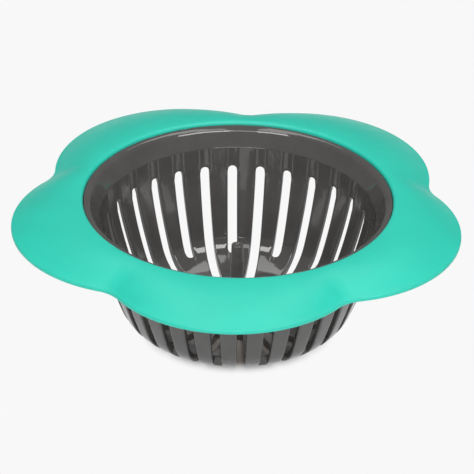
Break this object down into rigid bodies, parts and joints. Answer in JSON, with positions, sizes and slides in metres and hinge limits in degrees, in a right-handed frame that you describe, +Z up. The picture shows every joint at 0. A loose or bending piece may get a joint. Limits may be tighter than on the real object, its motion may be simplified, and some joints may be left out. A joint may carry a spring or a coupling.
{
  "type": "sink strainer",
  "caption": "Flower-shaped sink strainer: a slotted plastic drain basket with a thin centre post, carrying a soft petal rim that lies on the sink around the drain.",
  "frame": {"origin": "on the basket's axis, at its underside, where it stands on a table", "axes": "+Z up along the bowl's axis, with one petal pointing along -Y"},
  "size_m": [0.1134, 0.1111, 0.0363],
  "materials": {
    "basket": "gloss",
    "petal_rim": "satin"
  },
  "bodies": {
    "basket_body": {"basket": "basket"},
    "rim_body": {"petal_rim": "petal_rim"}
  },
  "joints": [
    {"name": "rim_pull_off", "type": "slide", "parent": "basket_body", "child": "rim_body", "axis": [0, 0, 1], "range_m": [0, 0.03]}
  ]
}
